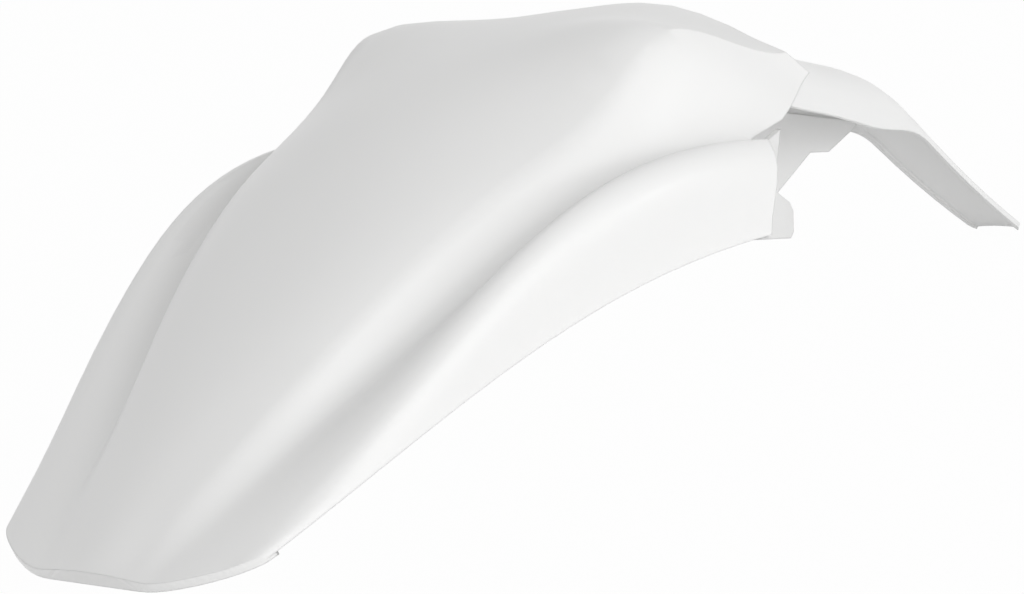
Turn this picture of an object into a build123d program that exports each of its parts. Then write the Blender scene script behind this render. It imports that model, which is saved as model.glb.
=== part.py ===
"""Rear fender of an off-road motorcycle: one moulded shell with a crown, flared wings, a hood and a strap.

Millimetres, +X forward, +Y to the rider's left, +Z up, as it sits on the motorcycle. Sizes are given from the
middle of the tail's end; the finished part has its origin at the centre of its two mounting holes.
"""
import os
from math import cos, radians, sin

from build123d import *

# Wall of the moulding
wall = 3.0

# Length of the crown, from the tail's end to its front edge
crown_length = 478.0

# Crown line in the side view
crown_tail_height = 9.0
crown_rise_station = 120.0
crown_rise_height = 49.0
crown_top_station = 310.0
crown_top_height = 80.0
crown_break_station = 400.0
crown_break_height = 60.5
crown_front_height = 24.0

# Shoulder line, where the crown turns down into the flank
shoulder_tail_half_width = 22.0
shoulder_tail_height = 8.0
shoulder_rise_station = 80.0
shoulder_rise_half_width = 41.0
shoulder_rise_height = 29.5
shoulder_mid_station = 180.0
shoulder_mid_half_width = 69.0
shoulder_mid_height = 53.0
shoulder_top_station = 310.0
shoulder_top_height = 61.0
shoulder_back_station = 345.0
shoulder_back_height = 63.0
shoulder_corner_station = 378.0
shoulder_corner_half_width = 99.0
shoulder_corner_height = 66.5
shoulder_drop_station = 423.0
shoulder_drop_height = 31.0
shoulder_tip_station = 456.0
shoulder_tip_height = 6.0
shoulder_front_half_width = 100.0
shoulder_front_height = -9.0

# Downward slopes at the shoulder, in degrees: soft from the tail, then folded into a ridge towards the front
shoulder_tail_slope = 5.0
shoulder_mid_slope = 25.0
ridge_crown_slope = 16.0
ridge_flank_slope = 70.0
ridge_valley_slope = 66.0
ridge_crest_slope = 73.0
ridge_start_station = 330.0
ridge_full_station = 420.0

# Valley between the flank and the wing
valley_tail_half_width = 42.0
valley_tail_height = 6.2
valley_rise_station = 60.0
valley_rise_half_width = 56.0
valley_rise_height = 15.0
valley_mid_station = 154.0
valley_mid_half_width = 82.0
valley_mid_height = 27.0
valley_deep_station = 276.0
valley_deep_half_width = 116.0
valley_deep_height = 31.0
valley_end_station = 372.0
valley_end_half_width = 124.0
valley_end_height = 3.0
valley_front_half_width = 116.0
valley_front_height = -52.0

# Crest of the wing, where it rolls over into the skirt
crest_tail_half_width = 66.0
crest_tail_height = 4.6
crest_mid_station = 123.0
crest_mid_half_width = 106.0
crest_mid_height = 28.0
crest_top_station = 268.0
crest_top_half_width = 130.0
crest_top_height = 46.0
crest_end_station = 372.0
crest_end_half_width = 134.0
crest_end_height = 6.0
crest_front_half_width = 129.0
crest_front_height = -85.0

# Lower edge of the wing and the skirt
edge_tail_half_width = 76.0
edge_tail_height = 1.0
edge_rear_station = 100.0
edge_rear_half_width = 109.0
edge_rear_height = 8.0
edge_mid_station = 210.0
edge_mid_half_width = 131.0
edge_mid_height = 5.0
edge_wide_station = 300.0
edge_wide_half_width = 140.0
edge_wide_height = -16.0
edge_front_half_width = 141.0
edge_front_height = -112.0
edge_slope = 78.0

# Slope of the wing at the valley and at the crest, in degrees, negative downwards
valley_tail_slope = -4.0
valley_slope = 6.0
crest_tail_slope = -9.0
crest_slope = -22.0

# Length of a curve's handles as a share of its chord
bow = 0.36

# Straight runs that make up each curve of a section: crown, flank, wing and skirt
curve_runs = (5, 7, 6, 6)

# Cross sections of the body, spaced more closely where the shoulder line bends
section_stations = (0, 30, 75, 150, 250, 330, 375, 423, 456)

# Tail end in the plan view: straight across the crown, then swept forward to rounded corners
tail_flat_half_width = 30.0
tail_bend = 5.0
tail_bend_half_width = 52.0
tail_sweep = 18.0
tail_sweep_half_width = 75.0
tail_corner_reach = 38.0
tail_corner_half_width = 91.0
tail_corner_turn = 0.45

# Lip turned down along the tail's end, set a little under the skin
tail_lip_level = 1.5
tail_lip_cover = 1.0

# Front outline of the body in the side view
crown_front_rise = 6.0
ridge_end_station = 456.0
ridge_end_height = 6.0
tip_station = 462.0
tip_height = -10.0
scallop_station = 415.0
scallop_height = -9.0

# Joggled flange and foot at the skirt's front, which the side panel laps
joggle = 2.4
joggle_top_station = 384.0
joggle_top_height = -1.0
joggle_foot_station = 338.0
joggle_foot_height = -52.0
flange_lap = 8.0
flange_top_station = 397.0
flange_top_height = -3.0
flange_neck_station = 372.0
flange_neck_height = -23.0
foot_station = 386.0
foot_height = -39.5
foot_depth = 5.0
foot_toe_station = 374.0
foot_toe_height = -49.0
foot_heel_station = 366.0
foot_heel_height = -47.5
foot_fold = 24.0

# Line of the hood and strap in the side view, lapped under the crown at its start
hood_lap = 2.0
hood_mid_station = 545.0
hood_mid_height = -46.0
hood_top_station = 590.0
hood_top_height = -84.0
hood_nose_station = 625.0
hood_nose_height = -121.0
strap_root_station = 645.0
strap_root_height = -167.0
strap_mid_station = 672.0
strap_mid_height = -217.0
strap_end_station = 701.0
strap_end_height = -263.0

# Sections of the hood and strap: station, half width, height of the arch, length of the legs and softness
# of the arch's haunches
hood_root = (446.0, 80.0, 28.0, 12.0, 0.5)
hood_throat = (494.0, 66.0, 28.0, 12.0, 0.4)
hood_back = (541.0, 50.0, 26.0, 10.0, 0.25)
hood_middle = (579.0, 38.5, 23.0, 10.0, 0.2)
hood_neck = (608.0, 31.0, 20.0, 12.0, 0.2)
hood_nose = (630.0, 25.0, 13.0, 9.0, 0.2)
strap_root = (strap_root_station, 20.5, 3.2, 3.4, 0.2)
strap_middle = (strap_mid_station, 19.0, 2.6, 3.4, 0.2)
strap_end = (strap_end_station, 17.5, 2.4, 3.4, 0.2)
strap_camber = 1.2
strap_corner = 6.0
leg_draft = 3.0
arch_runs = 10

# Apron below the hood's left edge: plan line and lower edge in the side view, with a lip along it
apron_rear_station = 516.0
apron_rear_half_width = 49.0
apron_front_station = 624.0
apron_front_half_width = 21.0
apron_edge = (
    (500.0, -105.0),
    (540.0, -157.0),
    (562.0, -151.0),
    (590.0, -143.0),
    (602.0, -150.0),
    (626.0, -147.0),
)
apron_top_rise = 58.0
apron_front_rise = 3.0
lip = 2.0
lip_height = 3.0

# Mounting holes through bosses under the hood
mount_station = 512.0
mount_spacing = 36.0
mount_hole_diameter = 6.5
boss_diameter = 16.0
boss_cover = 3.2
boss_height = 6.8

# How far the cutting solids reach past what they cut
overrun = 20.0


def guide(*points):
    """Smooth guide line through (station, value) points."""
    with BuildLine() as line:
        Spline(*points)
    return line.line


def crossing(line, station):
    """Share of a guide line's length at which it crosses a station."""
    low, high = 0.0, 1.0
    for _ in range(40):
        middle = (low + high) / 2
        if (line @ middle).X < station:
            low = middle
        else:
            high = middle
    return low


def reading(line, station):
    """Value of a guide line at a station."""
    return (line @ crossing(line, station)).Y


crown_height = guide(
    (0, crown_tail_height),
    (crown_rise_station, crown_rise_height),
    (crown_top_station, crown_top_height),
    (crown_break_station, crown_break_height),
    (crown_length, crown_front_height),
)
shoulder_half_width = guide(
    (0, shoulder_tail_half_width),
    (shoulder_rise_station, shoulder_rise_half_width),
    (shoulder_mid_station, shoulder_mid_half_width),
    (shoulder_corner_station, shoulder_corner_half_width),
    (crown_length, shoulder_front_half_width),
)
shoulder_height = guide(
    (0, shoulder_tail_height),
    (shoulder_rise_station, shoulder_rise_height),
    (shoulder_mid_station, shoulder_mid_height),
    (shoulder_top_station, shoulder_top_height),
    (shoulder_back_station, shoulder_back_height),
    (shoulder_corner_station, shoulder_corner_height),
    (shoulder_drop_station, shoulder_drop_height),
    (shoulder_tip_station, shoulder_tip_height),
    (crown_length, shoulder_front_height),
)
valley_half_width = guide(
    (0, valley_tail_half_width),
    (valley_rise_station, valley_rise_half_width),
    (valley_mid_station, valley_mid_half_width),
    (valley_deep_station, valley_deep_half_width),
    (valley_end_station, valley_end_half_width),
    (crown_length, valley_front_half_width),
)
valley_height = guide(
    (0, valley_tail_height),
    (valley_rise_station, valley_rise_height),
    (valley_mid_station, valley_mid_height),
    (valley_deep_station, valley_deep_height),
    (valley_end_station, valley_end_height),
    (crown_length, valley_front_height),
)
crest_half_width = guide(
    (0, crest_tail_half_width),
    (crest_mid_station, crest_mid_half_width),
    (crest_top_station, crest_top_half_width),
    (crest_end_station, crest_end_half_width),
    (crown_length, crest_front_half_width),
)
crest_height = guide(
    (0, crest_tail_height),
    (crest_mid_station, crest_mid_height),
    (crest_top_station, crest_top_height),
    (crest_end_station, crest_end_height),
    (crown_length, crest_front_height),
)
edge_half_width = guide(
    (0, edge_tail_half_width),
    (edge_rear_station, edge_rear_half_width),
    (edge_mid_station, edge_mid_half_width),
    (edge_wide_station, edge_wide_half_width),
    (crown_length, edge_front_half_width),
)
edge_height = guide(
    (0, edge_tail_height),
    (edge_rear_station, edge_rear_height),
    (edge_mid_station, edge_mid_height),
    (edge_wide_station, edge_wide_height),
    (crown_length, edge_front_height),
)


def blend(station, start, end):
    """Share from 0 to 1 of the way from one station to another, eased at both ends."""
    share = min(max((station - start) / (end - start), 0), 1)
    return share * share * (3 - 2 * share)


def heading(angle):
    """Direction in a cross section, outwards and turned up by an angle in degrees."""
    return Vector(cos(radians(angle)), sin(radians(angle)))


def cubic_runs(start, start_handle, end_handle, end, runs):
    """Points at the starts of the straight runs of a cubic curve, its end left out."""
    points = []
    for run in range(runs):
        share = run / runs
        rest = 1 - share
        points.append(
            start * rest**3
            + start_handle * (3 * rest**2 * share)
            + end_handle * (3 * rest * share**2)
            + end * share**3
        )
    return points


def skin(station, inset):
    """Points of the body's left half section from the crown's middle to the edge, moved inwards."""
    ridge = blend(station, ridge_start_station, ridge_full_station)
    full = blend(station, 0, shoulder_mid_station)
    shoulder_slope = -shoulder_tail_slope + (shoulder_tail_slope - shoulder_mid_slope) * full
    hollow_slope = valley_tail_slope + (valley_slope - valley_tail_slope) * full
    roll_slope = crest_tail_slope + (crest_slope - crest_tail_slope) * full
    flank_slope = shoulder_slope + (-ridge_flank_slope - shoulder_slope) * ridge
    slopes = (
        (shoulder_slope + (-ridge_crown_slope - shoulder_slope) * ridge, flank_slope),
        (hollow_slope + (-ridge_valley_slope - hollow_slope) * ridge,) * 2,
        (roll_slope + (-ridge_crest_slope - roll_slope) * ridge,) * 2,
        (-edge_slope,) * 2,
    )
    middle = Vector(0, reading(crown_height, station) - inset)
    stops = [
        Vector(reading(shoulder_half_width, station), reading(shoulder_height, station)),
        Vector(reading(valley_half_width, station), reading(valley_height, station)),
        Vector(reading(crest_half_width, station), reading(crest_height, station)),
        Vector(reading(edge_half_width, station), reading(edge_height, station)),
    ]
    start, start_along = middle, Vector(1, 0)
    points = []
    for stop, (slope_in, slope_out), runs in zip(stops, slopes, curve_runs):
        along_in, along_out = heading(slope_in), heading(slope_out)
        bisector = Vector(along_in.Y, -along_in.X) + Vector(along_out.Y, -along_out.X)
        end = stop + bisector * (inset * 2 / bisector.length**2)
        reach = (end - start).length * bow
        points += cubic_runs(start, start + start_along * reach, end - along_in * reach, end, runs)
        start, start_along = end, along_out
    return points + [start]


def half_section(station):
    """Left half of the body's wall at a station."""
    with BuildSketch(Plane.YZ.offset(station)) as section:
        with BuildLine():
            Polyline(*skin(station, 0), *reversed(skin(station, wall)), close=True)
        make_face()
    return section.sketch


def filled_half(station):
    """Left half of the body's section at a station, filled down below the tail's lip."""
    outside = skin(station, tail_lip_cover)
    with BuildSketch(Plane.YZ.offset(station)) as section:
        with BuildLine():
            Polyline(*outside, (outside[-1].X, lip_floor), (0, lip_floor), close=True)
        make_face()
    return section.sketch


far = crown_length
lip_floor = tail_lip_level - overrun


def side_prism(*points):
    """Solid with a side-view outline, wide enough to pass through the whole fender."""
    with BuildPart() as prism:
        with BuildSketch(Plane.XZ) as outline:
            with BuildLine():
                Polyline(*points, close=True)
            make_face()
        extrude(outline.sketch, amount=far, dir=(0, 1, 0), both=True)
    return prism.part


# Body of the fender: half of the wall lofted through its sections, then mirrored
with BuildPart() as body:
    for station in (*section_stations, crown_length):
        add(half_section(station))
    loft()
    mirror(about=Plane.XZ)

# Outline of the tail's end seen from above
with BuildLine() as tail_line:
    Line((0, 0), (0, tail_flat_half_width))
    Spline(
        (0, tail_flat_half_width),
        (tail_bend, tail_bend_half_width),
        (tail_sweep, tail_sweep_half_width),
        (tail_corner_reach, tail_corner_half_width),
        tangents=((0, 1), (1, tail_corner_turn)),
    )

# What the tail's end leaves away
with BuildPart() as tail_cut:
    with BuildSketch(Plane.XY.offset(-overrun)):
        with BuildLine():
            add(tail_line.line)
            Polyline(
                (tail_corner_reach, tail_corner_half_width),
                (tail_corner_reach, tail_corner_half_width + overrun),
                (-overrun, tail_corner_half_width + overrun),
                (-overrun, 0),
                (0, 0),
            )
        make_face()
        mirror(about=Plane.XZ)
    extrude(amount=4 * overrun)

# Lip under the tail's end: a band along the outline, kept under the skin
with BuildPart() as tail_lip:
    for station in section_stations[:3]:
        add(filled_half(station))
    loft()
    with BuildSketch(Plane.XY.offset(tail_lip_level)) as band:
        with BuildLine():
            inner_line = tail_line.line.moved(Location((wall, 0)))
            add(tail_line.line)
            add(inner_line)
            Line(tail_line.line @ 0, inner_line @ 0)
            Line(tail_line.line @ 1, inner_line @ 1)
        make_face()
    extrude(band.sketch, amount=4 * overrun, dir=(0, 0, 1), mode=Mode.INTERSECT)
    mirror(about=Plane.XZ)

# What the front leaves away, seen from the side
front_cut = side_prism(
    (crown_length, crown_front_height + crown_front_rise),
    (ridge_end_station, ridge_end_height),
    (tip_station, tip_height),
    (scallop_station, scallop_height),
    (joggle_top_station, joggle_top_height),
    (joggle_foot_station, joggle_foot_height),
    (joggle_foot_station, -far),
    (crown_length + overrun, -far),
    (crown_length + overrun, crown_front_height + crown_front_rise),
)


def on_line(half_width, height, station):
    """Point of the body where one of its guide lines passes a station."""
    return Vector(station, reading(half_width, station), reading(height, station))


# Flange on the left: a plate set in from the skirt's plane, cut to its side-view outline
crest_point = on_line(crest_half_width, crest_height, crest_end_station)
rear_point = on_line(edge_half_width, edge_height, joggle_foot_station)
toe_point = on_line(edge_half_width, edge_height, foot_station)
skirt_normal = (crest_point - rear_point).cross(toe_point - rear_point)
skirt_normal = skirt_normal * (1 if skirt_normal.Y > 0 else -1)
skirt_plane = Plane(origin=rear_point, x_dir=toe_point - rear_point, z_dir=skirt_normal)
flange_plane = skirt_plane.offset(-joggle)

with BuildPart() as flange:
    with BuildSketch(flange_plane):
        Rectangle(far, far)
    extrude(amount=-wall)
    add(
        side_prism(
            (joggle_top_station - flange_lap, joggle_top_height),
            (flange_top_station, flange_top_height),
            (flange_neck_station, flange_neck_height),
            (foot_heel_station, foot_heel_height),
            (joggle_foot_station, reading(edge_height, joggle_foot_station)),
            (joggle_foot_station, reading(edge_height, joggle_foot_station) + flange_lap),
        ),
        mode=Mode.INTERSECT,
    )
    mirror(about=Plane.XZ)


def on_flange(station, height):
    """Point of the left flange's outer face at a place in the side view."""
    normal, origin = flange_plane.z_dir, flange_plane.origin
    away = normal.X * (station - origin.X) + normal.Z * (height - origin.Z)
    return Vector(station, origin.Y - away / normal.Y, height)


# Foot: a plate in front of the flange, folded inwards about the line from its neck to its heel
fold_start = on_flange(flange_neck_station, flange_neck_height)
fold_axis = Axis(fold_start, on_flange(foot_heel_station, foot_heel_height) - fold_start)
foot_plane = Plane(
    origin=fold_start,
    x_dir=fold_axis.direction,
    z_dir=flange_plane.z_dir.rotate(fold_axis, foot_fold),
)

with BuildPart() as foot:
    with BuildSketch(foot_plane):
        Rectangle(far, far)
    extrude(amount=-wall)
    add(
        side_prism(
            (flange_neck_station, flange_neck_height),
            (foot_station, foot_height),
            (foot_station, foot_height - foot_depth),
            (foot_toe_station, foot_toe_height),
            (foot_heel_station, foot_heel_height),
        ),
        mode=Mode.INTERSECT,
    )
    mirror(about=Plane.XZ)

# Hood and strap
hood_line = guide(
    (hood_root[0], reading(crown_height, hood_root[0]) - hood_lap),
    (crown_length, crown_front_height - hood_lap),
    (hood_mid_station, hood_mid_height),
    (hood_top_station, hood_top_height),
    (hood_nose_station, hood_nose_height),
    (strap_root_station, strap_root_height),
    (strap_mid_station, strap_mid_height),
    (strap_end_station, strap_end_height),
)


def across_hood(station):
    """Plane across the hood's line at a station, with its own up along the hood's normal."""
    share = crossing(hood_line, station)
    spot = hood_line @ share
    along = hood_line % share
    return Plane(origin=(spot.X, 0, spot.Y), x_dir=(0, 1, 0), z_dir=(along.X, 0, along.Y))


def arch_points(width, base, top, softness, lean, leg_end):
    """Points of an arch in straight runs, from the end of its left leg to the end of its right leg."""
    crest = base + (top - base) * 4 / 3
    turn = width * softness
    handles = Vector(turn - width, crest), Vector(width - turn, crest)
    run_points = cubic_runs(Vector(-width, base), *handles, Vector(width, base), arch_runs)
    return [Vector(-width - lean, leg_end), *run_points, Vector(width, base), Vector(width + lean, leg_end)]


def hood_section(station, half_width, arch, leg, softness):
    """Arched section of the hood's wall, with a leg on each side."""
    leg_end = -arch - leg
    lean = leg * sin(radians(leg_draft))
    inner_base = min(-arch, -wall - strap_camber)
    outside = arch_points(half_width, -arch, 0, softness, lean, leg_end)
    inside = arch_points(half_width - wall, inner_base, -wall, softness, lean, leg_end)
    with BuildSketch(across_hood(station)) as section:
        with BuildLine():
            Polyline(*outside, *reversed(inside), close=True)
        make_face()
    return section.sketch


with BuildPart() as hood:
    for row in (hood_root, hood_throat, hood_back, hood_middle, hood_neck, hood_nose, strap_root):
        add(hood_section(*row))
    loft()

# What the strap's end leaves away: a band across it, but for the middle and two rounded corners
strap_across = across_hood(strap_end_station)
strap_plane = Plane(origin=strap_across.origin, x_dir=(0, 1, 0), z_dir=strap_across.y_dir)
strap_end_width = 2 * strap_end[1]
band_place = (Align.CENTER, Align.MIN)

with BuildPart() as strap:
    for row in (strap_root, strap_middle, strap_end):
        add(hood_section(*row))
    loft()
    with BuildSketch(strap_plane) as corners:
        Rectangle(strap_end_width + overrun, strap_corner, align=band_place)
        Rectangle(strap_end_width - 2 * strap_corner, strap_corner, align=band_place, mode=Mode.SUBTRACT)
        with Locations((0, strap_corner)):
            with GridLocations(strap_end_width - 2 * strap_corner, 1, 2, 1):
                Circle(strap_corner, mode=Mode.SUBTRACT)
    extrude(corners.sketch, amount=overrun, dir=strap_plane.z_dir, both=True, mode=Mode.SUBTRACT)

# Apron: a plate on its plan line, with a thicker lip along the lower edge
apron_slope = (apron_front_half_width - apron_rear_half_width) / (apron_front_station - apron_rear_station)
apron_plane = Plane(
    origin=(apron_rear_station, apron_rear_half_width, 0),
    x_dir=(1, apron_slope, 0),
    z_dir=(-apron_slope, 1, 0),
)
apron_start, apron_finish = apron_edge[0], apron_edge[-1]

with BuildPart() as apron:
    with BuildSketch(apron_plane):
        Rectangle(far, far)
    extrude(amount=-wall)
    add(
        side_prism(
            *apron_edge,
            (apron_finish[0], apron_finish[1] + apron_front_rise),
            (apron_start[0], apron_start[1] + apron_top_rise),
        ),
        mode=Mode.INTERSECT,
    )

with BuildPart() as apron_lip:
    with BuildSketch(apron_plane.offset(lip)):
        Rectangle(far, far)
    extrude(amount=-wall - lip)
    add(
        side_prism(*apron_edge, *[(x, z + lip_height) for x, z in reversed(apron_edge)]),
        mode=Mode.INTERSECT,
    )

# Plane of the bosses' lower faces, square to the hood's line
mount_across = across_hood(mount_station)
crest_plane = Plane(origin=mount_across.origin, x_dir=(0, 1, 0), z_dir=mount_across.y_dir)
mount_plane = crest_plane.offset(-boss_cover - boss_height)

with BuildPart() as fender:
    add(body.part)
    add(tail_cut.part, mode=Mode.SUBTRACT)
    add(front_cut, mode=Mode.SUBTRACT)
    add(tail_lip.part)
    add(hood.part)
    add(strap.part)
    add(flange.part)
    add(foot.part)
    add(apron.part)
    add(apron_lip.part)
    with BuildSketch(mount_plane):
        with GridLocations(mount_spacing, 1, 2, 1):
            Circle(boss_diameter / 2)
    extrude(amount=boss_height)
    with BuildSketch(mount_plane):
        with GridLocations(mount_spacing, 1, 2, 1):
            Circle(mount_hole_diameter / 2)
    extrude(amount=overrun, mode=Mode.SUBTRACT)

with BuildPart() as rear_fender:
    add(fender.part.moved(Location(-mount_plane.origin)))

rear_fender.part.label = "rear_fender"
os.makedirs("parts", exist_ok=True)
export_step(rear_fender.part, "parts/rear_fender.step")
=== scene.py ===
"""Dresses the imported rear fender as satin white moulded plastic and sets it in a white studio."""

import logging
from dataclasses import dataclass
from enum import Enum
from typing import Any

import bmesh
import bpy
from mathutils import Matrix, Vector
from mathutils.bvhtree import BVHTree


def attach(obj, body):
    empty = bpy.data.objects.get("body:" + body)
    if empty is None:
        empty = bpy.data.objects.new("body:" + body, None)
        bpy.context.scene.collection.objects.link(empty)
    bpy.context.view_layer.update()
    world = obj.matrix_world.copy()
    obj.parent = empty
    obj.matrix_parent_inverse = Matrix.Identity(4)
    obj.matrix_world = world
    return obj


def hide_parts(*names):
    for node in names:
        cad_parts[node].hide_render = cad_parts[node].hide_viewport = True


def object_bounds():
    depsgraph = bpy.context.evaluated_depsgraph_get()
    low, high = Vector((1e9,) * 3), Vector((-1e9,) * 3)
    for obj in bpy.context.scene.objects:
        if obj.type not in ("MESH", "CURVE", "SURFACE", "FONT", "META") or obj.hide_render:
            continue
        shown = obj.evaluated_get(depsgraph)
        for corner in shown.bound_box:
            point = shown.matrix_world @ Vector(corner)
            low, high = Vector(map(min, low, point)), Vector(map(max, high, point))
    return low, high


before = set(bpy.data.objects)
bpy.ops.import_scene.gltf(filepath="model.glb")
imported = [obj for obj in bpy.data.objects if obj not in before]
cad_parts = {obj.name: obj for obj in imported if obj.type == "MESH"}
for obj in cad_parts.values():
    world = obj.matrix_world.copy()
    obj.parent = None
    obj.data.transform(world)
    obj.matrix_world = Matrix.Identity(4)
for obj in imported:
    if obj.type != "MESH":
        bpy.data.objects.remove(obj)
CAD_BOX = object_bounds()
log = logging.getLogger("rear_fender")

Colour = tuple[float, float, float]
Place = tuple[float, float, float]

WHITE: Colour = (1.0, 1.0, 1.0)
NOISE_MIDDLE = 0.5
MIX_FIRST, MIX_SECOND, MIX_RESULT = 6, 7, 2


class Side(Enum):
    """Sides of the moulding, in the order of the shell's material slots."""

    SKIN = 0
    UNDERSIDE = 1
    RIM = 2
    FLANGE = 3


def opaque(colour: Colour) -> tuple[float, float, float, float]:
    """Add a full alpha to a colour."""
    return (*colour, 1.0)


def stand(name: str, form: bmesh.types.BMesh) -> bpy.types.Object:
    """Turn a finished form into an object of the scene.

    Args:
        name: Name of the object and of its mesh.
        form: The finished form, which is freed.

    Returns:
        The new object.
    """
    mesh = bpy.data.meshes.new(name)
    form.to_mesh(mesh)
    form.free()
    made = bpy.data.objects.new(name, mesh)
    bpy.context.scene.collection.objects.link(made)
    return made


class Signal:
    """A value in a node tree; arithmetic on it adds Math nodes."""

    def __init__(self, graph: "Graph", socket: bpy.types.NodeSocket) -> None:
        """Keep the tree and the socket that gives the value."""
        self.graph = graph
        self.socket = socket

    def _math(self, operation: str, first: "Signal | float", second: "Signal | float") -> "Signal":
        """Add one Math node.

        Args:
            operation: Name of the Math node's operation.
            first: Value or number of the first input.
            second: Value or number of the second input.

        Returns:
            The node's result.
        """
        node = self.graph.node("ShaderNodeMath", {"operation": operation}, {0: first, 1: second})
        return Signal(self.graph, node.outputs[0])

    def __add__(self, other: "Signal | float") -> "Signal":
        """Sum of two values."""
        return self._math("ADD", self, other)

    __radd__ = __add__

    def __sub__(self, other: "Signal | float") -> "Signal":
        """This value less another."""
        return self._math("SUBTRACT", self, other)

    def __rsub__(self, other: "Signal | float") -> "Signal":
        """Another value less this one."""
        return self._math("SUBTRACT", other, self)

    def __mul__(self, other: "Signal | float") -> "Signal":
        """Product of two values."""
        return self._math("MULTIPLY", self, other)

    __rmul__ = __mul__

    def highest(self, other: "Signal | float") -> "Signal":
        """The greater of two values."""
        return self._math("MAXIMUM", self, other)


class Graph:
    """The node tree of one material or world."""

    def __init__(self, owner: bpy.types.Material | bpy.types.World) -> None:
        """Start from an empty tree."""
        owner.use_nodes = True
        self.tree = owner.node_tree
        self.tree.nodes.clear()

    def node(
        self,
        kind: str,
        settings: dict[str, Any] | None = None,
        inputs: dict[str | int, Any] | None = None,
    ) -> bpy.types.Node:
        """Add a node, set it up and feed it.

        Args:
            kind: Blender's name for the node's type.
            settings: Properties of the node, set before its inputs.
            inputs: Numbers, colours, signals or sockets by input name or place.

        Returns:
            The new node.
        """
        made = self.tree.nodes.new(kind)
        for name, value in (settings or {}).items():
            setattr(made, name, value)
        for name, value in (inputs or {}).items():
            if isinstance(value, Signal):
                self.tree.links.new(value.socket, made.inputs[name])
            elif isinstance(value, bpy.types.NodeSocket):
                self.tree.links.new(value, made.inputs[name])
            else:
                made.inputs[name].default_value = value
        return made

    def signal(
        self, kind: str, output: str | int, settings: dict[str, Any], inputs: dict[str | int, Any]
    ) -> Signal:
        """Add a node and take one of its outputs.

        Args:
            kind: Blender's name for the node's type.
            output: Name or place of the output.
            settings: Properties of the node.
            inputs: Values of its inputs.

        Returns:
            The output as a signal.
        """
        return Signal(self, self.node(kind, settings, inputs).outputs[output])

    def noise(self, place: bpy.types.NodeSocket, scale: float, detail: float = 2.0) -> Signal:
        """Noise from 0 to 1 over a surface.

        Args:
            place: Coordinates the noise is read at.
            scale: Features to the metre.
            detail: Number of finer layers.

        Returns:
            The noise's value.
        """
        inputs = {"Vector": place, "Scale": scale, "Detail": detail}
        return self.signal("ShaderNodeTexNoise", 0, {}, inputs)

    def blend(self, factor: Signal, first: Any, second: Any) -> bpy.types.NodeSocket:
        """Mix two colours.

        Args:
            factor: Share of the second colour.
            first: Colour or socket at 0.
            second: Colour or socket at 1.

        Returns:
            The mixed colour's socket.
        """
        inputs = {0: factor, MIX_FIRST: first, MIX_SECOND: second}
        return self.node("ShaderNodeMix", {"data_type": "RGBA"}, inputs).outputs[MIX_RESULT]


@dataclass(frozen=True)
class MouldedFinish:
    """Injection-moulded plastic, with flow marks in its colour, painted shade in its creases and a
    fine skin.
    """

    name: str
    colour: Colour
    flow_colour: Colour
    roughness: float
    roughness_swing: float
    grain: float
    grain_depth: float
    wave: float = 60.0
    wave_depth: float = 0.0
    wave_detail: float = 1.0
    flow_stretch: Place = (2.5, 9.0, 9.0)
    flow_detail: float = 4.0
    polish: float = 22.0
    polish_detail: float = 3.0
    edge_radius: float = 0.0014
    edge_samples: int = 6
    # Painted shade: how far, how finely and how dark ambient occlusion darkens the colour in
    # creases.
    crease_shade_reach: float = 0.006
    crease_shade_samples: int = 8
    crease_shade_colour: Colour = (0.58, 0.58, 0.58)
    refraction: float = 1.49

    def shade(self, graph: Graph, place: bpy.types.NodeSocket) -> bpy.types.NodeSocket:
        """Mix the flow marks and paint shade into the creases from ambient occlusion.

        Args:
            graph: The material's tree.
            place: Object coordinates.

        Returns:
            The colour's socket.
        """
        stretch = {"Vector": place, "Scale": self.flow_stretch}
        drawn_out = graph.node("ShaderNodeMapping", {}, stretch).outputs[0]
        flow = graph.noise(drawn_out, 1.0, self.flow_detail)
        clean = graph.blend(flow, opaque(self.colour), opaque(self.flow_colour))
        # Painted shade: ambient occlusion mixes the crease shade colour into creases and recesses.
        open_share = graph.signal(
            "ShaderNodeAmbientOcclusion",
            "AO",
            {"samples": self.crease_shade_samples, "only_local": True},
            {"Distance": self.crease_shade_reach},
        )
        return graph.blend(open_share, opaque(self.crease_shade_colour), clean)

    def relief(self, graph: Graph, place: bpy.types.NodeSocket) -> bpy.types.NodeSocket:
        """Round the edges and lay the grain and waves over them.

        Args:
            graph: The material's tree.
            place: Object coordinates.

        Returns:
            The normal's socket.
        """
        grain = graph.noise(place, self.grain)
        wave = graph.noise(place, self.wave, self.wave_detail)
        height = grain * self.grain_depth + wave * self.wave_depth
        rounded = graph.node(
            "ShaderNodeBevel", {"samples": self.edge_samples}, {"Radius": self.edge_radius}
        ).outputs[0]
        inputs = {"Strength": 1.0, "Distance": 1.0, "Height": height, "Normal": rounded}
        return graph.node("ShaderNodeBump", {}, inputs).outputs[0]

    def material(self) -> bpy.types.Material:
        """Build the material on Object coordinates.

        Returns:
            The finished material.
        """
        made = bpy.data.materials.new(self.name)
        graph = Graph(made)
        place = graph.node("ShaderNodeTexCoord").outputs["Object"]
        polish = graph.noise(place, self.polish, self.polish_detail)
        shader = graph.node(
            "ShaderNodeBsdfPrincipled",
            {},
            {
                "Base Color": self.shade(graph, place),
                "Roughness": self.roughness + (polish - NOISE_MIDDLE) * self.roughness_swing,
                "Normal": self.relief(graph, place),
                "IOR": self.refraction,
            },
        )
        graph.node("ShaderNodeOutputMaterial", {}, {"Surface": shader.outputs[0]})
        return made


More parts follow.
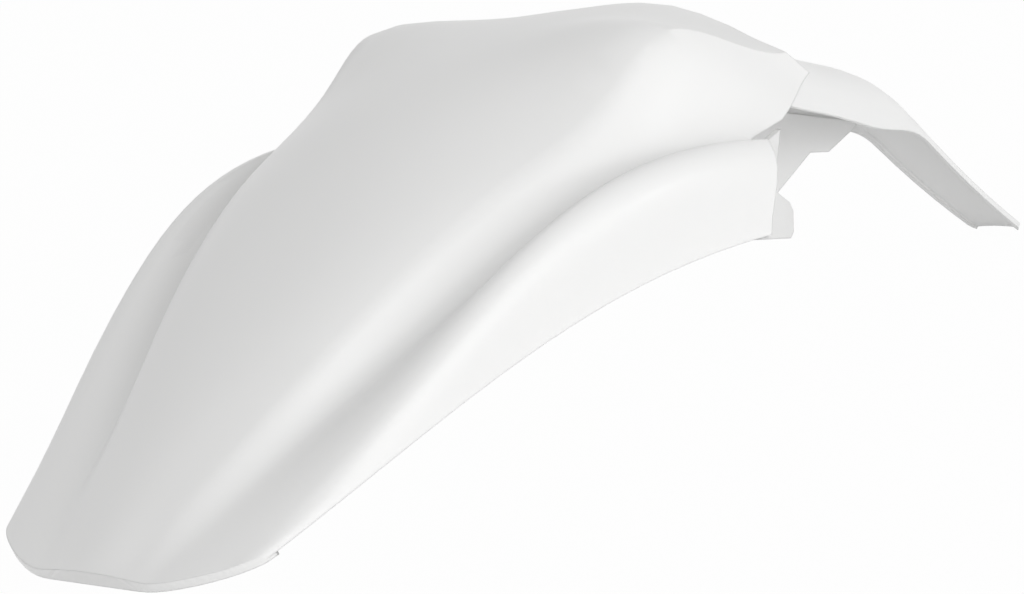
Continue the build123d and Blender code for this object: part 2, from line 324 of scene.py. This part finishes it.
@dataclass
class FenderShell:
    """The moulded shell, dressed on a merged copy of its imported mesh."""

    node: str = "rear_fender"
    merge: float = 0.00002
    fold: float = 0.76
    wall: float = 0.003
    rim_walls: float = 2.5
    ray_start: float = 0.00005
    spine_height: float = -0.05
    hood_fall: float = 1.4
    joggle_top: tuple[float, float] = (-0.1206, 0.0160)
    joggle_foot: tuple[float, float] = (-0.1666, -0.0350)
    flange_half_width: float = 0.126
    piece: bpy.types.Object | None = None
    # Each finish's crease shade colour is painted shade in its creases.
    skin: MouldedFinish = MouldedFinish(
        name="satin_skin",
        colour=(0.86, 0.86, 0.855),
        flow_colour=(0.84, 0.84, 0.835),
        roughness=0.34,
        roughness_swing=0.08,
        grain=900.0,
        grain_depth=0.000004,
        wave=70.0,
        wave_depth=0.00002,
        crease_shade_colour=(0.80, 0.80, 0.795),
    )
    underside: MouldedFinish = MouldedFinish(
        name="matt_underside",
        colour=(0.85, 0.85, 0.845),
        flow_colour=(0.82, 0.82, 0.815),
        roughness=0.55,
        roughness_swing=0.1,
        grain=1400.0,
        grain_depth=0.00003,
        crease_shade_colour=(0.72, 0.72, 0.715),
    )
    rim: MouldedFinish = MouldedFinish(
        name="trimmed_rim",
        colour=(0.88, 0.88, 0.875),
        flow_colour=(0.86, 0.86, 0.855),
        roughness=0.45,
        roughness_swing=0.1,
        grain=1100.0,
        grain_depth=0.00001,
        crease_shade_colour=(0.80, 0.80, 0.795),
    )
    # Painted shade: the flange and its foot get a darker colour than the skin, standing in for the
    # shade they lie in behind the skirt, and the dark default crease shade.
    flange: MouldedFinish = MouldedFinish(
        name="lapped_flange_painted_shade",
        colour=(0.75, 0.75, 0.745),
        flow_colour=(0.72, 0.72, 0.715),
        roughness=0.5,
        roughness_swing=0.1,
        grain=1200.0,
        grain_depth=0.00002,
    )

    def build(self) -> bpy.types.Object:
        """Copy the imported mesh, merge it and sort its faces by side.

        Returns:
            The shell's object.
        """
        form = bmesh.new()
        form.from_mesh(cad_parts[self.node].data)
        bmesh.ops.remove_doubles(form, verts=form.verts, dist=self.merge)
        self.sort_sides(form)
        for edge in form.edges:
            edge.smooth = edge.is_manifold and edge.calc_face_angle(0.0) < self.fold
        for face in form.faces:
            face.smooth = True
        self.piece = stand("fender_shell", form)
        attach(self.piece, "root")
        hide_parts(self.node)
        return self.piece

    def sort_sides(self, form: bmesh.types.BMesh) -> None:
        """Give each face the material slot of its side.

        Args:
            form: The merged mesh.
        """
        tree = BVHTree.FromBMesh(form)
        for face in form.faces:
            face.material_index = self.side_of(face, tree).value

    def side_of(self, face: bmesh.types.BMFace, tree: BVHTree) -> Side:
        """Tell which side of the moulding a face is on.

        Args:
            face: A face of the merged mesh.
            tree: The merged mesh, for finding the wall's depth behind the face.

        Returns:
            The face's side.
        """
        centre = face.calc_center_median()
        # The flange and its foot take the finish with painted shade.
        if self.on_flange(centre):
            return Side.FLANGE
        inside = centre - face.normal * self.ray_start
        depth = tree.ray_cast(inside, -face.normal)[3]
        if depth is None or depth > self.rim_walls * self.wall:
            return Side.RIM
        spine = self.spine_height - max(0.0, centre.x) * self.hood_fall
        outward = centre - Vector((centre.x, 0.0, spine))
        return Side.SKIN if outward.dot(face.normal) > 0 else Side.UNDERSIDE

    def on_flange(self, spot: Vector) -> bool:
        """Tell the joggled flange and its foot from the skirt.

        Args:
            spot: Middle of a face.

        Returns:
            True in front of the joggle's line, out at the skirt's width.
        """
        along = Vector(self.joggle_foot) - Vector(self.joggle_top)
        away = Vector((spot.x, spot.z)) - Vector(self.joggle_top)
        ahead = away.x * -along.y + away.y * along.x
        return abs(spot.y) > self.flange_half_width and ahead > 0

    def dress(self) -> None:
        """Put the finishes in the slots of the sides."""
        for finish in (self.skin, self.underside, self.rim, self.flange):
            self.piece.data.materials.append(finish.material())


@dataclass(frozen=True)
class AreaLamp:
    """A square softbox aimed at a point."""

    name: str
    place: Place
    aim: Place
    width: float
    power: float

    def light(self) -> bpy.types.Object:
        """Build the lamp.

        Returns:
            The lamp's object.
        """
        data = bpy.data.lights.new(self.name, "AREA")
        data.size = self.width
        data.energy = self.power
        lamp = bpy.data.objects.new(self.name, data)
        lamp.location = self.place
        beam = Vector(self.aim) - Vector(self.place)
        lamp.rotation_euler = beam.to_track_quat("-Z", "Y").to_euler()
        bpy.context.scene.collection.objects.link(lamp)
        return lamp


@dataclass
class Studio:
    """White floor, soft lamps and the camera."""

    ambient: float = 0.57
    floor_width: float = 9.0
    floor_gap: float = 0.001
    floor_shadow: float = 0.03
    floor_cloud: float = 3.0
    floor_dull: Colour = (0.88, 0.88, 0.88)
    floor_clear: Colour = (0.9, 0.9, 0.9)
    floor_roughness: float = 0.9
    lamps: tuple[AreaLamp, ...] = (
        AreaLamp("key", (-0.3, -2.6, 0.9), (-0.1, 0.0, 0.0), 2.4, 32.0),
        AreaLamp("fill", (-2.4, -0.6, 0.9), (-0.2, 0.0, 0.0), 1.6, 5.0),
        AreaLamp("low", (0.6, -1.3, -0.25), (0.1, 0.05, -0.08), 0.4, 2.2),
    )
    camera_place: Place = (-1.2830, -1.1888, 0.7689)
    camera_right: Place = (0.5639, -0.7489, -0.3481)
    camera_down: Place = (-0.5639, -0.0412, -0.8248)
    camera_view: Place = (0.6033, 0.6614, -0.4455)
    camera_reach: float = 50.0
    sensor: float = 36.0
    focal_pixels: float = 3500.0
    picture_pixels: float = 1024.0

    def seen(self, graph: Graph) -> Signal:
        """Mask of the rays that should meet a white background.

        Args:
            graph: Tree that gets the Light Path node.

        Returns:
            1 for camera, glossy and transmission rays.
        """
        path = graph.node("ShaderNodeLightPath")
        camera = Signal(graph, path.outputs["Is Camera Ray"])
        glossy = Signal(graph, path.outputs["Is Glossy Ray"])
        through = Signal(graph, path.outputs["Is Transmission Ray"])
        return camera.highest(glossy).highest(through)

    def build_world(self) -> None:
        """Light everything evenly, and show white to the camera."""
        world = bpy.data.worlds.new("studio_white")
        bpy.context.scene.world = world
        graph = Graph(world)
        level = self.ambient + (1.0 - self.ambient) * self.seen(graph)
        inputs = {"Color": opaque(WHITE), "Strength": level}
        background = graph.node("ShaderNodeBackground", {}, inputs)
        graph.node("ShaderNodeOutputWorld", {}, {"Surface": background.outputs[0]})

    def floor_finish(self) -> bpy.types.Material:
        """White to the camera, but for a share of paper that takes the shadow.

        Returns:
            The floor's material.
        """
        white = bpy.data.materials.new("floor_white")
        graph = Graph(white)
        place = graph.node("ShaderNodeTexCoord").outputs["Object"]
        cloud = graph.noise(place, self.floor_cloud)
        colour = graph.blend(cloud, opaque(self.floor_dull), opaque(self.floor_clear))
        paper = graph.node(
            "ShaderNodeBsdfPrincipled", {}, {"Base Color": colour, "Roughness": self.floor_roughness}
        ).outputs[0]
        glow = graph.node(
            "ShaderNodeEmission", {}, {"Color": opaque(WHITE), "Strength": 1.0}
        ).outputs[0]
        share = self.seen(graph) * (1.0 - self.floor_shadow)
        mixed = graph.node("ShaderNodeMixShader", {}, {0: share, 1: paper, 2: glow})
        graph.node("ShaderNodeOutputMaterial", {}, {"Surface": mixed.outputs[0]})
        return white

    def build_floor(self) -> bpy.types.Object:
        """Lay a white floor just under the lowest point.

        Returns:
            The floor's object.
        """
        level = CAD_BOX[0][2] - self.floor_gap
        form = bmesh.new()
        bmesh.ops.create_grid(form, x_segments=1, y_segments=1, size=self.floor_width / 2)
        bmesh.ops.translate(form, verts=form.verts, vec=(0.0, 0.0, level))
        floor = stand("floor", form)
        floor.data.materials.append(self.floor_finish())
        return floor

    def build_camera(self) -> bpy.types.Object:
        """Put the camera at the photograph's place.

        Returns:
            The camera's object.
        """
        data = bpy.data.cameras.new("camera")
        data.sensor_width = self.sensor
        data.lens = self.focal_pixels * self.sensor / self.picture_pixels
        data.clip_end = self.camera_reach
        camera = bpy.data.objects.new("camera", data)
        right = Vector(self.camera_right)
        up = -Vector(self.camera_down)
        back = -Vector(self.camera_view)
        turn = Matrix((right, up, back)).transposed().to_4x4()
        camera.matrix_world = Matrix.Translation(self.camera_place) @ turn
        bpy.context.scene.collection.objects.link(camera)
        bpy.context.scene.camera = camera
        return camera

    def build(self) -> None:
        """Build the world, floor, lamps and camera."""
        bpy.context.scene.view_settings.view_transform = "Standard"
        self.build_world()
        self.build_floor()
        for lamp in self.lamps:
            lamp.light()
            log.info("lamp %s of %.1f W", lamp.name, lamp.power)
        self.build_camera()


def main() -> None:
    """Build the shell and the studio in order, reporting each piece."""
    logging.basicConfig(level=logging.INFO, format="%(message)s")
    shell = FenderShell()
    piece = shell.build()
    shell.dress()
    log.info("%s: %d faces", piece.name, len(piece.data.polygons))
    Studio().build()


if __name__ == "__main__":
    main()
